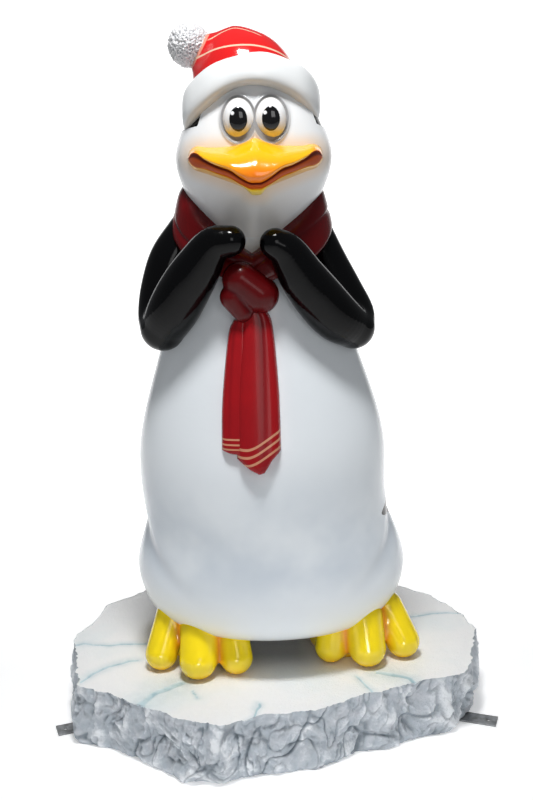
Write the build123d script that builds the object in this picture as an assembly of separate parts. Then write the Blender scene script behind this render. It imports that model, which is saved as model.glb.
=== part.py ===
"""Penguin display statue: a painted glass-fibre figure on a sculpted ice-floe plinth with a steel frame inside.

Millimetres, +Z up. The penguin faces -Y, so its own left is +X. The origin is on the floor, at the middle of
the plinth. Each moulding is laminated, bonded to its neighbours and painted. The figure stands on two leg
posts bolted through the deck.
"""

import os
from math import asin, cos, hypot, pi, sin

from build123d import *

# ---------------------------------------------------------------- plinth and frame
DECK_Z = 167.0                  # top of the ice
DECK_WALL = 7.0
ICE_WAIST_Z = 70.0              # the floe is widest here
ICE_EDGE_SHARE = 0.985          # its rims are this much smaller
BOARD_T = 18.0                  # plywood core under the deck
BOARD_X, BOARD_Y0, BOARD_Y1 = 380.0, -240.0, 270.0
BOARD_Z = DECK_Z - DECK_WALL - BOARD_T
TUBE, TUBE_WALL = 40.0, 3.0     # square tube of the plinth frame
RAIL_Y = 250.0
CROSS_X = 450.0
CROSS_YS = (-170.0, 230.0)
UPRIGHT_YS = (-190.0, 190.0)
TAB_LENGTH, TAB_W, TAB_T = 190.0, 46.0, 6.0
TAB_HOLE_R = 6.0
TAB_HOLE_X, TAB_HOLE_Y = 567.0, -175.0
TAB_SWEEP = 20.0                # degrees each tab points forwards
TAB_END = 22.0                  # hole centre to the outer end

# ---------------------------------------------------------------- armature
POST_R, POST_WALL = 21.2, 3.2
POST_X, POST_Y = 185.0, 20.0
POST_TOP = 640.0
HIP_OVERHANG = 40.0
SPINE_X, SPINE_TOP = -26.0, 1560.0
SHOULDER_Z, SHOULDER_HALF = 1160.0, 130.0
PLATE, PLATE_T = 120.0, 8.0     # foot plate welded to each leg post
BOLT_SPACING = 84.0
BOLT_R, HOLE_R = 5.0, 5.5
NUT_FLATS, NUT_H, HEAD_H = 17.0, 8.0, 6.5
WASHER_R, WASHER_T = 10.0, 2.0

# ---------------------------------------------------------------- figure
WALL = 5.0                      # laminate thickness of the hollow mouldings
SEAM_Y = 20.0                   # white front meets black back
HEAD_SEAM_Y = 0.0
NECK_Z = 1296.0
BELLY_Z = 232.0                 # lowest point of the belly

# Sections of the figure from belly to crown: height, centre x, centre y, half width, half depth.
FIGURE = [
    (BELLY_Z, -6, 15, 140, 105),
    (250, -6, 14, 258, 200),
    (290, -6, 10, 322, 254),
    (360, -6, 10, 351, 284),
    (440, -7, 9, 357, 291),
    (530, -11, 0, 333, 284),
    (620, -22, -5, 325, 284),
    (740, -24, -6, 325, 276),
    (860, -25, -2, 301, 246),
    (980, -28, 2, 263, 210),
    (1100, -31, 6, 224, 174),
    (1210, -32, 8, 184, 150),
    (NECK_Z, -31, 6, 158, 136),
    (1350, -30, 4, 157, 145),
    (1420, -30, 1, 182, 164),
    (1490, -29, 0, 196, 178),
    (1560, -29, 3, 176, 170),
    (1620, -30, -6, 148, 141),
    (1665, -32, -6, 120, 120),
    (1700, -33, 0, 88, 90),
    (1718, -34, 4, 60, 62),
    (1726, -34, 4, 34, 35),
]
# Outline of the floe, anticlockwise from its back left corner as seen from above.
ICE_OUTLINE = [
    (-411, 365), (-502, 272), (-558, 96), (-562, 1), (-555, -71), (-523, -238), (-422, -293), (-353, -340),
    (-246, -429), (-138, -448), (-30, -405), (99, -401), (222, -320), (315, -273), (477, -228), (529, -148),
    (580, 42), (554, 143), (478, 275), (375, 356), (250, 410), (90, 445), (-90, 430), (-260, 440),
]

FACE_X = -24.0
EYE_GAP = 38.0
EYE_Y, EYE_Z = -150.0, 1573.0
EYE_HALF = (38.0, 34.0, 50.0)
PUPIL_HALF = (21.0, 7.0, 28.0)
PUPIL_SINK = 3.0                # how deep each pupil's middle sits in the eye

# Half outlines of the bill, seen from the front: distance from its middle, height.
BILL_TOP = [(0, 1532), (50, 1511), (108, 1511), (135, 1514), (157, 1504), (165, 1485)]
UPPER_EDGE = [(154, 1490), (120, 1487), (89, 1470), (60, 1461), (35, 1443), (0, 1428)]
LOWER_EDGE = [(152, 1478), (120, 1470), (89, 1459), (60, 1450), (35, 1432), (0, 1419)]
BILL_BOTTOM = [(155, 1468), (120, 1450), (73, 1433), (30, 1411), (14, 1400), (0, 1397)]
BILL_CENTRE = (FACE_X, -140, 1462)
BILL_HALF = (170, 150, 84)

HAT_TILT = 21.0                 # degrees the brim leans back
BRIM_CENTRE = (-34.0, 8.0, 1638.0)
BRIM_R, BRIM_T, BRIM_H = 150.0, 24.0, 37.0
CROWN_FOOT, CROWN_TOP = (-34.0, 10.0, 1640.0), (-80.0, 20.0, 1738.0)
CROWN_R, CROWN_REACH = 138.0, 50.0
DROOP_END, DROOP_R, DROOP_END_R = (-158.0, 18.0, 1756.0), 56.0, 34.0
POM_CENTRE, POM_R = (-188.0, 18.0, 1761.0), 52.0

COLLAR_CENTRE, COLLAR_R = (-38.0, -6.0, 1335.0), 160.0
COLLAR_T, COLLAR_H = 34.0, 56.0
COLLAR_TILT = 26.0              # degrees it leans forwards
KNOT_CENTRE, KNOT_HALF = (-42.0, -172.0, 1170.0), (70.0, 52.0, 70.0)
FRONT_END = [(-61, 1125), (-10, 1125), (9, 1084), (21, 939), (22, 797), (-37, 741), (-83, 779), (-81, 1084)]
BACK_END = [(-86, 1100), (-60, 1100), (-60, 782), (-113, 788), (-122, 801), (-118, 908), (-101, 1060)]
FRONT_END_T, BACK_END_T = 34.0, 24.0

# Joints of each wing, from shoulder to hand: x, y, z, radius.
RIGHT_WING = [
    (-200, 4, 1300, 56), (-244, -16, 1235, 58), (-270, -42, 1161, 55), (-279, -70, 1101, 52),
    (-269, -100, 1072, 54), (-237, -136, 1129, 60), (-202, -160, 1187, 59), (-169, -178, 1236, 53),
    (-130, -197, 1284, 44), (-88, -208, 1294, 37),
]
LEFT_WING = [
    (128, 4, 1294, 54), (170, -18, 1225, 54), (205, -45, 1151, 53), (222, -70, 1097, 50),
    (215, -100, 1062, 50), (170, -136, 1098, 58), (123, -160, 1152, 58), (83, -178, 1207, 53),
    (48, -196, 1264, 45), (18, -207, 1286, 37),
]
LIMB_STEP = 0.6                 # each limb starts this much fatter than the one before ends

FOOT_X = 195.0
TOE_ROOT_Z, TOE_ROOT_R = 292.0, 46.0
TOE_R = 43.0
TOE_SINK = 4.0                  # each toe is flattened by this much where it stands
# Each toe from its end on the deck to its root inside the belly: x, y, x, y.
RIGHT_TOES = [(-305, -150, -254, -84), (-202, -205, -200, -150), (-103, -182, -146, -150)]
LEFT_TOES = [(348, -108, 268, -72), (244, -155, 212, -148), (148, -128, 158, -140)]
INSTEP_Y, INSTEP_HALF = -20.0, (112.0, 115.0, 92.0)

TAIL_ROOT, TAIL_ROOT_R = (-6.0, 240.0, 345.0), 62.0
TAIL_TIP, TAIL_TIP_R = (-6.0, 322.0, 268.0), 26.0


# ---------------------------------------------------------------- helpers
def lofted(sections, grow=0.0):
    """A smooth solid through elliptical sections, every radius grown by the same amount."""
    return loft([Pos(x, y, z) * Ellipse(w + grow, d + grow) for z, x, y, w, d in sections])


def capsule(start, end, start_r, end_r):
    """A ball at each end joined by the cone that touches both."""
    run = Vector(*end) - Vector(*start)
    length = run.length
    lean = asin((start_r - end_r) / length)

    def on_ball(middle, radius, angle):
        return (radius * cos(angle), middle + radius * sin(angle))

    foot, top = (0, -start_r), (0, length + end_r)
    low, high = on_ball(0, start_r, lean), on_ball(length, end_r, lean)
    low_arc = ThreePointArc(foot, on_ball(0, start_r, (lean - pi / 2) / 2), low)
    high_arc = ThreePointArc(high, on_ball(length, end_r, (lean + pi / 2) / 2), top)
    outline = low_arc + Line(low, high) + high_arc + Line(top, foot)
    turned = revolve(Rot(90, 0, 0) * make_face(outline), Axis.Z)
    return Plane(origin=start, z_dir=tuple(run)).location * turned


def ellipsoid(centre, halves):
    return Pos(*centre) * scale(Sphere(1), by=halves)


def slab(x0, x1, y0, y1, z0, z1):
    return Pos((x0 + x1) / 2, (y0 + y1) / 2, (z0 + z1) / 2) * Box(x1 - x0, y1 - y0, z1 - z0)


def square_tube(x0, x1, y0, y1, z0):
    """A square tube lying along its longer side."""
    along_x = x1 - x0 > y1 - y0
    trim_x, trim_y = (0, TUBE_WALL) if along_x else (TUBE_WALL, 0)
    hollow = slab(x0 + trim_x, x1 - trim_x, y0 + trim_y, y1 - trim_y, z0 + TUBE_WALL, z0 + TUBE - TUBE_WALL)
    return slab(x0, x1, y0, y1, z0, z0 + TUBE) - hollow


def round_tube(start, end, radius=POST_R, wall=POST_WALL):
    run = Vector(*end) - Vector(*start)
    ring = Circle(radius) - Circle(radius - wall)
    return Plane(origin=start, z_dir=tuple(run)).location * extrude(ring, run.length)


def largest(shape):
    """The main solid of a cut, without its slivers."""
    return max(shape.solids(), key=lambda s: s.volume)


def write(name, *solids):
    shape = solids[0] if len(solids) == 1 else Compound(children=list(solids))
    shape.label = name
    export_step(shape, f"parts/{name}.step")


# ---------------------------------------------------------------- plinth
def ice_face(z, share, inset):
    points = []
    for x, y in ICE_OUTLINE:
        k = share - inset / hypot(x, y)
        points.append((x * k, y * k))
    return Pos(0, 0, z) * make_face(Polyline(*points, close=True))


def ice_form(top, inset=0.0):
    """The floe's faceted outer form, or its inside when inset is given."""
    levels = ((0, ICE_EDGE_SHARE), (ICE_WAIST_Z, 1.0), (top, ICE_EDGE_SHARE))
    return loft([ice_face(z, share, inset) for z, share in levels], ruled=True)


def bolt_places():
    """Centres of the hold-down bolts, four round each leg post."""
    half = BOLT_SPACING / 2
    return [
        (side * POST_X + dx, POST_Y + dy)
        for side in (-1, 1)
        for dx in (-half, half)
        for dy in (-half, half)
    ]


def drilled(shape, z0, z1):
    for x, y in bolt_places():
        shape -= Pos(x, y, (z0 + z1) / 2) * Cylinder(HOLE_R, z1 - z0)
    return shape


def on_tab(side, shape):
    """Put a shape made round the origin at the middle of a tab, along the tab."""
    inwards = Pos(side * (TAB_END - TAB_LENGTH / 2), 0, 0)
    return Pos(side * TAB_HOLE_X, TAB_HOLE_Y, TAB_T / 2) * Rot(0, 0, -side * TAB_SWEEP) * inwards * shape


def make_tab(side):
    """A flat bar that runs out under the ice and is drilled for a ground anchor."""
    hole = Pos(side * (TAB_LENGTH / 2 - TAB_END), 0, 0) * Cylinder(TAB_HOLE_R, 2 * TAB_T)
    return on_tab(side, Box(TAB_LENGTH, TAB_W, TAB_T) - hole)


def make_plinth():
    shell = ice_form(DECK_Z) - ice_form(DECK_Z - DECK_WALL, DECK_WALL)
    shell = drilled(shell, BOARD_Z, DECK_Z + 1)
    for side in (-1, 1):
        shell -= on_tab(side, Box(TAB_LENGTH, TAB_W + 1, TAB_T + 1))
    board = slab(-BOARD_X, BOARD_X, BOARD_Y0, BOARD_Y1, BOARD_Z, BOARD_Z + BOARD_T)
    return largest(shell), drilled(board, BOARD_Z - 1, DECK_Z)


def make_frame():
    """Steel frame: two rails under the feet, cross tubes butted to them, uprights to the deck board."""
    half = TUBE / 2
    rails = [
        square_tube(side * POST_X - half, side * POST_X + half, -RAIL_Y, RAIL_Y, TAB_T)
        for side in (-1, 1)
    ]
    spans = ((-CROSS_X, -POST_X - half), (-POST_X + half, POST_X - half), (POST_X + half, CROSS_X))
    crosses = [square_tube(x0, x1, y - half, y + half, TAB_T) for y in CROSS_YS for x0, x1 in spans]
    uprights = [
        round_tube((side * POST_X, y, TAB_T + TUBE), (side * POST_X, y, BOARD_Z), half, TUBE_WALL)
        for side in (-1, 1)
        for y in UPRIGHT_YS
    ]
    return rails, crosses, uprights


# ---------------------------------------------------------------- armature and fasteners
def make_post(side):
    """A tube welded to a drilled foot plate."""
    x, half = side * POST_X, PLATE / 2
    plate = slab(x - half, x + half, POST_Y - half, POST_Y + half, DECK_Z, DECK_Z + PLATE_T)
    post = plate + round_tube((x, POST_Y, DECK_Z + PLATE_T), (x, POST_Y, POST_TOP))
    return largest(drilled(post, DECK_Z - 1, DECK_Z + PLATE_T + 1))


def make_bars():
    """Hip bar across the posts, spine tube from it up into the head, shoulder bar behind the spine."""
    hip_z, shoulder_y = POST_TOP + POST_R, POST_Y + 2 * POST_R
    hip = round_tube((-POST_X - HIP_OVERHANG, POST_Y, hip_z), (POST_X + HIP_OVERHANG, POST_Y, hip_z))
    spine = round_tube((SPINE_X, POST_Y, hip_z + POST_R), (SPINE_X, POST_Y, SPINE_TOP))
    shoulder = round_tube(
        (SPINE_X - SHOULDER_HALF, shoulder_y, SHOULDER_Z), (SPINE_X + SHOULDER_HALF, shoulder_y, SHOULDER_Z)
    )
    return hip, spine, shoulder


def make_fasteners():
    hexagon = RegularPolygon(NUT_FLATS / 2, 6, major_radius=False)
    ring = Circle(WASHER_R) - Circle(HOLE_R)
    washer_z = DECK_Z + PLATE_T
    nut_z = BOARD_Z - WASHER_T - NUT_H
    low, high = nut_z - NUT_H / 2, washer_z + WASHER_T
    bolts, nuts, washers = [], [], []
    for x, y in bolt_places():
        shank = Pos(x, y, (low + high) / 2) * Cylinder(BOLT_R, high - low)
        bolts.append(shank + Pos(x, y, high) * extrude(hexagon, HEAD_H))
        nuts.append(Pos(x, y, nut_z) * extrude(hexagon - Circle(BOLT_R), NUT_H))
        washers.append(Pos(x, y, washer_z) * extrude(ring, WASHER_T))
        washers.append(Pos(x, y, BOARD_Z - WASHER_T) * extrude(ring, WASHER_T))
    return bolts, nuts, washers


# ---------------------------------------------------------------- figure
def make_mouldings(figure):
    """The figure as a hollow laminate in four mouldings, split at the neck and at the front-to-back seams."""
    (bottom, *bottom_size), (top, *top_size) = FIGURE[0], FIGURE[-1]
    cavity = [(bottom + WALL, *bottom_size)] + FIGURE[1:-1] + [(top - WALL, *top_size)]
    shell = figure - lofted(cavity, -WALL)
    for side in (-1, 1):
        shell -= Pos(side * POST_X, POST_Y, BELLY_Z) * Cylinder(POST_R, 120)
    far = 600
    return [
        largest(shell & slab(-far, far, -far, SEAM_Y, 0, NECK_Z)),
        largest(shell & slab(-far, far, SEAM_Y, far, 0, NECK_Z)),
        largest(shell & slab(-far, far, -far, HEAD_SEAM_Y, NECK_Z, NECK_Z + far)),
        largest(shell & slab(-far, far, HEAD_SEAM_Y, far, NECK_Z, NECK_Z + far)),
    ]


def make_foot(side, toes, figure):
    """Three toes and an instep, flat on the deck, meeting the belly, hollowed for the foot plate."""
    foot = ellipsoid((side * FOOT_X, INSTEP_Y, DECK_Z + TOE_R), INSTEP_HALF)
    for x, y, root_x, root_y in toes:
        tip = (x, y, DECK_Z + TOE_R - TOE_SINK)
        foot += capsule((root_x, root_y, TOE_ROOT_Z), tip, TOE_ROOT_R, TOE_R)
    centre, far, half = side * POST_X, 400, PLATE / 2 + 2
    foot -= slab(centre - far, centre + far, -far, far, DECK_Z - far, DECK_Z)
    foot -= slab(centre - half, centre + half, POST_Y - half, POST_Y + half, DECK_Z, DECK_Z + 4 * PLATE_T)
    foot -= Pos(centre, POST_Y, DECK_Z) * Cylinder(POST_R, far)
    return largest(foot - figure)


def make_wing(joints, figure, collar):
    """Upper arm, forearm and hand, folded up on the chest."""
    wing = Part()
    for (*start, start_r), (*end, end_r) in zip(joints, joints[1:]):
        wing += capsule(start, end, start_r + LIMB_STEP, end_r)
    return largest(wing - figure - collar)


def crown_form(inset):
    """The crown's dome and the droop that carries the bobble."""
    run = Vector(*CROWN_TOP) - Vector(*CROWN_FOOT)
    halves = (CROWN_R - inset, CROWN_R - inset, run.length + CROWN_REACH - inset)
    dome = Plane(origin=CROWN_FOOT, x_dir=(0, 1, 0), z_dir=tuple(run)).location * scale(Sphere(1), by=halves)
    return dome + capsule(CROWN_TOP, DROOP_END, DROOP_R - inset, DROOP_END_R - inset)


def make_hat(figure):
    """White brim ring that leans back, hollow red crown above it that leans over to the bobble."""
    place = Pos(*BRIM_CENTRE) * Rot(-HAT_TILT, 0, 0)
    profile = Pos(BRIM_R, 0, 0) * Rot(90, 0, 0) * Ellipse(BRIM_T, BRIM_H)
    ring = place * revolve(profile, Axis.Z)
    outside, far = crown_form(0), 400
    above = place * slab(-far, far, -far, far, 0, far)
    crown = ((outside - crown_form(WALL)) & above) - ring - figure
    bobble = Pos(*POM_CENTRE) * Sphere(POM_R) - outside
    return largest(ring - figure), largest(crown), largest(bobble)


def make_collar(figure):
    profile = Pos(COLLAR_R, 0, 0) * Rot(90, 0, 0) * Ellipse(COLLAR_T, COLLAR_H)
    ring = Pos(*COLLAR_CENTRE) * Rot(COLLAR_TILT, 0, 0) * revolve(profile, Axis.Z)
    return largest(ring - figure)


def make_hanging_end(outline, thickness, figure):
    """A scarf end: its outline seen from the front, lying on the belly."""
    chest = [section for section in FIGURE if 500 < section[0] < 1400]
    blank = Rot(90, 0, 0) * extrude(make_face(Polyline(*outline, close=True)), 600)
    return (blank & lofted(chest, thickness)) - figure


def bill_part(upper, lower, figure):
    """The slice of the bill between two half outlines, mirrored about the middle of the face."""
    right = upper + lower
    left = [(-x, z) for x, z in reversed(right) if x > 0]
    front = make_face(Polyline(*right, *left, close=True))
    prism = Pos(FACE_X, 0, 0) * Rot(90, 0, 0) * extrude(front, 400)
    return largest((prism & ellipsoid(BILL_CENTRE, BILL_HALF)) - figure)


def make_eyes(figure):
    eyes, pupils = [], []
    pupil_y = EYE_Y - EYE_HALF[1] + PUPIL_SINK
    for side in (-1, 1):
        x = FACE_X + side * EYE_GAP
        eye = ellipsoid((x, EYE_Y, EYE_Z), EYE_HALF)
        eyes.append(eye - figure)
        pupils.append(largest(ellipsoid((x, pupil_y, EYE_Z), PUPIL_HALF) - eye))
    return largest(eyes[0]), largest(eyes[1] - eyes[0]), pupils


def main():
    os.makedirs("parts", exist_ok=True)
    shell, board = make_plinth()
    write("ice_plinth_shell", shell)
    write("deck_board", board)
    rails, crosses, uprights = make_frame()
    write("frame_rails", *rails)
    write("frame_cross_tubes", *crosses)
    write("frame_uprights", *uprights)
    write("fixing_tab_right", make_tab(-1))
    write("fixing_tab_left", make_tab(1))

    write("leg_post_right", make_post(-1))
    write("leg_post_left", make_post(1))
    hip, spine, shoulder = make_bars()
    write("hip_bar", hip)
    write("spine_tube", spine)
    write("shoulder_bar", shoulder)
    bolts, nuts, washers = make_fasteners()
    write("plate_bolts", *bolts)
    write("plate_nuts", *nuts)
    write("plate_washers", *washers)

    figure = lofted(FIGURE)
    names = ("body_front_shell", "body_back_shell", "face_shell", "head_back_shell")
    for name, moulding in zip(names, make_mouldings(figure)):
        write(name, moulding)
    write("foot_right", make_foot(-1, RIGHT_TOES, figure))
    write("foot_left", make_foot(1, LEFT_TOES, figure))
    write("tail_stub", largest(capsule(TAIL_ROOT, TAIL_TIP, TAIL_ROOT_R, TAIL_TIP_R) - figure))

    collar = make_collar(figure)
    wings = [make_wing(joints, figure, collar) for joints in (RIGHT_WING, LEFT_WING)]
    knot = ellipsoid(KNOT_CENTRE, KNOT_HALF) - figure - collar - wings[0] - wings[1]
    front_end = make_hanging_end(FRONT_END, FRONT_END_T, figure) - knot
    back_end = make_hanging_end(BACK_END, BACK_END_T, figure) - front_end - knot
    write("scarf_collar", collar)
    write("scarf_knot", largest(knot))
    write("scarf_front_end", largest(front_end))
    write("scarf_back_end", largest(back_end))
    write("wing_right", wings[0])
    write("wing_left", wings[1])

    brim, crown, bobble = make_hat(figure)
    write("hat_brim", brim)
    write("hat_crown", crown)
    write("hat_pompom", bobble)

    eye_right, eye_left, pupils = make_eyes(figure)
    upper = bill_part(BILL_TOP, UPPER_EDGE, figure)
    write("upper_bill", largest(upper - eye_right - eye_left))
    write("mouth_line", bill_part(UPPER_EDGE[::-1], LOWER_EDGE, figure))
    write("lower_bill", bill_part(LOWER_EDGE[::-1], BILL_BOTTOM, figure))
    write("eye_right", eye_right)
    write("eye_left", eye_left)
    write("pupil_right", pupils[0])
    write("pupil_left", pupils[1])


main()
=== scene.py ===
import math

import bmesh
import bpy
import numpy as np
from mathutils import Euler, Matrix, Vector


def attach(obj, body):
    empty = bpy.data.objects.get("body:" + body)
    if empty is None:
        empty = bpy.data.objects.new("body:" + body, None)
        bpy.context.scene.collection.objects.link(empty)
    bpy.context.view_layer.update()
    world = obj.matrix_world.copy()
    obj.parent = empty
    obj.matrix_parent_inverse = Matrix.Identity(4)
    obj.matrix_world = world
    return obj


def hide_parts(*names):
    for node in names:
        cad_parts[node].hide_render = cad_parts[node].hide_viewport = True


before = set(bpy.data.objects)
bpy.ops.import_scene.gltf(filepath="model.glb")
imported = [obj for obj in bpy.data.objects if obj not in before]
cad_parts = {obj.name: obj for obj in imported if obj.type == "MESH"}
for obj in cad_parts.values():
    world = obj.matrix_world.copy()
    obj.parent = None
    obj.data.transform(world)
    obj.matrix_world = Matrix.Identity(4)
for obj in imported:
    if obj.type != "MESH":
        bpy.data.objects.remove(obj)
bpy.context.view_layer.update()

# Metres in the CAD frame: the penguin faces -Y, its own left is +X. Sizes come from the CAD nodes.
MM = 0.001

# Paint colours as linear red, green and blue.
BLACK = (0.0022, 0.0023, 0.0027)
BELLY_WHITE = (0.80, 0.845, 0.88)
BELLY_SHADE = (0.50, 0.57, 0.65)
BELLY_CREASE_SHADE = (0.52, 0.57, 0.63)
CREAM = (0.88, 0.83, 0.66)
FACE_WHITE = (0.86, 0.875, 0.885)
CHIN_SHADE = (0.60, 0.62, 0.64)
BRIM_SHADOW = (0.50, 0.53, 0.57)
BILL_YELLOW = (0.93, 0.47, 0.006)
BILL_ORANGE = (0.93, 0.22, 0.008)
TOE_YELLOW = (0.97, 0.73, 0.010)
TOE_SHADE_ORANGE = (0.88, 0.25, 0.006)
DECK_WHITE = (0.93, 0.93, 0.93)
DECK_SHADOW = (0.075, 0.08, 0.08)
SIDE_CREASE_SHADE = (0.13, 0.16, 0.19)
PALE_LINE = (0.72, 0.50, 0.36)
SCARF_FOLD_SHADE = (0.085, 0.003, 0.006)
SCARF_STRIPE = (0.58, 0.27, 0.16)


# ---- small tools
def cad_points(*nodes):
    """Vertices of CAD nodes, as one array."""
    return np.concatenate([
        np.array([v.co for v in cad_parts[n].data.vertices], float) for n in nodes
    ])


def cad_box(*nodes):
    """Low and high corner of CAD nodes."""
    points = cad_points(*nodes)
    return points.min(0), points.max(0)


def cad_middle(node):
    low, high = cad_box(node)
    return (low + high) / 2


def ease(low, high, x):
    """0 below low, 1 above high, smooth between."""
    t = np.clip((x - low) / (high - low), 0, 1)
    return t * t * (3 - 2 * t)


def bell(x, middle, width):
    """1 in the middle, falling off over the width on both sides."""
    return np.exp(-(((x - middle) / width) ** 2))


class Noise:
    """Smooth value noise on a wrapped random lattice."""

    def __init__(self, seed, size=32):
        self.size = size
        self.table = np.random.default_rng(seed).uniform(-1, 1, (size, size, size))

    def __call__(self, points):
        cell = np.floor(points).astype(int)
        f = points - cell
        f = f * f * (3 - 2 * f)
        total = 0
        for corner in np.ndindex(2, 2, 2):
            c = np.array(corner)
            weight = np.prod(np.where(c, f, 1 - f), -1)
            i, j, k = np.moveaxis((cell + c) % self.size, -1, 0)
            total = total + weight * self.table[i, j, k]
        return total

    def layers(self, points, count, finer=2.03, shift=7.3):
        return sum(self(points * finer**n + shift * n) * 0.5**n for n in range(count))


def scoops(points, seed, size=16):
    """Shallow hollows round one random middle per unit cell, that meet in sharp ridges."""
    table = np.random.default_rng(seed).random((size, size, size, 3))
    cell = np.floor(points).astype(int)
    best = np.inf
    for step in np.ndindex(3, 3, 3):
        c = cell + np.array(step) - 1
        i, j, k = np.moveaxis(c % size, -1, 0)
        best = np.minimum(best, np.linalg.norm(points - c - table[i, j, k], axis=-1))
    return np.clip(best, 0, 1) ** 2


def add_attribute(mesh, name, values):
    attribute = mesh.attributes.new(name, "FLOAT", "POINT")
    attribute.data.foreach_set("value", np.ravel(values).astype(np.float32))


def add_mesh(name, points, faces, attributes=None, sharp=None):
    """A mesh object with outward normals and named point attributes."""
    mesh = bpy.data.meshes.new(name)
    mesh.from_pydata(points.tolist(), [], faces)
    work = bmesh.new()
    work.from_mesh(mesh)
    bmesh.ops.recalc_face_normals(work, faces=work.faces)
    work.to_mesh(mesh)
    work.free()
    for key, values in (attributes or {}).items():
        add_attribute(mesh, key, values)
    mesh.polygons.foreach_set("use_smooth", [True] * len(mesh.polygons))
    if sharp:
        mesh.set_sharp_from_angle(angle=math.radians(sharp))
    thing = bpy.data.objects.new(name, mesh)
    bpy.context.scene.collection.objects.link(thing)
    return thing


def grid_faces(rows, columns, wrap):
    """Quads of a rows by columns grid. wrap joins the last column to the first."""
    i, j = np.meshgrid(np.arange(rows - 1), np.arange(columns if wrap else columns - 1), indexing="ij")
    k = (j + 1) % columns
    quads = np.stack([i * columns + j, i * columns + k, (i + 1) * columns + k, (i + 1) * columns + j], -1)
    return quads.reshape(-1, 4).tolist()


def closed_mesh(name, grid, attributes=None, **options):
    """A mesh from rings of points, closed by a fan over the first and the last ring."""
    rows, columns = grid.shape[:2]
    points = grid.reshape(-1, 3)
    faces = grid_faces(rows, columns, True)
    extra = {key: np.ravel(values) for key, values in (attributes or {}).items()}
    for row in (0, rows - 1):
        ring = range(row * columns, (row + 1) * columns)
        points = np.vstack([points, grid[row].mean(0)])
        extra = {key: np.append(v, v[ring].mean()) for key, v in extra.items()}
        faces += [[a, b, len(points) - 1] for a, b in zip(ring, [*ring[1:], ring[0]])]
    return add_mesh(name, points, faces, extra, **options)


def ring_mesh(name, grid, attributes):
    """A closed ring from a grid whose rows and columns both wrap."""
    rows, columns = grid.shape[:2]
    faces = np.array(grid_faces(rows + 1, columns, True)) % (rows * columns)
    return add_mesh(name, grid.reshape(-1, 3), faces.tolist(), attributes)


# ---- solids from distance fields
def blend_min(a, b, k):
    """The smaller of a and b, rounded over where they are within k."""
    h = np.clip(0.5 + 0.5 * (b - a) / k, 0, 1)
    return b + (a - b) * h - k * h * (1 - h)


def limb(p, start, end, start_r, end_r):
    """Distance to a round-ended limb between two balls."""
    start, end = np.array(start, float), np.array(end, float)
    run = end - start
    h = np.clip(((p - start) @ run) / (run @ run), 0, 1)
    return np.linalg.norm(p - start - h[..., None] * run, axis=-1) - (start_r + (end_r - start_r) * h)


def chain(p, joints, radii):
    """Distance to limbs joined end to end."""
    ends = zip(joints, joints[1:], radii, radii[1:])
    return np.min([limb(p, *sizes) for sizes in ends], axis=0)


def line_distance(p, path):
    return chain(p, path, np.zeros(len(path)))


def ball(p, centre, halves):
    """Nearly the distance to an ellipsoid."""
    q = (p - np.array(centre)) / np.array(halves)
    k = np.linalg.norm(q, axis=-1)
    g = np.linalg.norm(q / np.array(halves), axis=-1)
    return k * (k - 1) / np.maximum(g, 1e-9)


def slope(field, p, step=0.0005):
    g = np.empty_like(p)
    for axis in range(3):
        d = np.zeros(3)
        d[axis] = step
        g[..., axis] = field(p + d) - field(p - d)
    return g / (2 * step)


def solid(field, low, high, step, rounds=4, pulls=2):
    """Surface-net mesh of field = 0: points and quads, relaxed in rounds and pulled onto the surface."""
    axes = [np.arange(a - 2 * step, b + 3 * step, step) for a, b in zip(low, high)]
    grid = np.stack(np.meshgrid(*axes, indexing="ij"), -1)
    value = field(grid)
    shape = np.array(value.shape) - 1
    total = np.zeros((*shape, 3))
    count = np.zeros(shape)
    crossings = []
    for axis in range(3):
        a, b = np.moveaxis(value, axis, 0)[:-1], np.moveaxis(value, axis, 0)[1:]
        hit = np.moveaxis((a < 0) != (b < 0), 0, axis)
        share = np.moveaxis(a / np.where(a == b, 1, a - b), 0, axis)
        at = np.argwhere(hit)
        point = np.array([axes[n][at[:, n]] for n in range(3)]).T
        point[:, axis] += share[hit] * step
        others = [n for n in range(3) if n != axis]
        around = []
        for back in ((0, 0), (-1, 0), (-1, -1), (0, -1)):
            cell = at.copy()
            cell[:, others] += back
            ok = np.all((cell >= 0) & (cell < shape), axis=1)
            np.add.at(total, tuple(cell[ok].T), point[ok])
            np.add.at(count, tuple(cell[ok].T), 1)
            around.append(cell)
        crossings.append(np.stack(around, 1))
    used = count > 0
    number = np.cumsum(used.ravel()).reshape(used.shape) - 1
    points = total[used] / count[used][:, None]
    quads = np.concatenate([number[tuple(np.moveaxis(c, -1, 0))] for c in crossings])
    links = np.concatenate([quads[:, [n, (n + 1) % 4]] for n in range(4)])
    for _ in range(rounds):
        away, near = np.zeros_like(points), np.zeros(len(points))
        for a, b in ((0, 1), (1, 0)):
            np.add.at(away, links[:, a], points[links[:, b]])
            np.add.at(near, links[:, a], 1)
        points += 0.5 * (away / near[:, None] - points)
        for _ in range(pulls):
            g = slope(field, points)
            points -= g * (field(points) / np.maximum((g * g).sum(-1), 0.05))[:, None]
    return points, quads.tolist()


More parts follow.
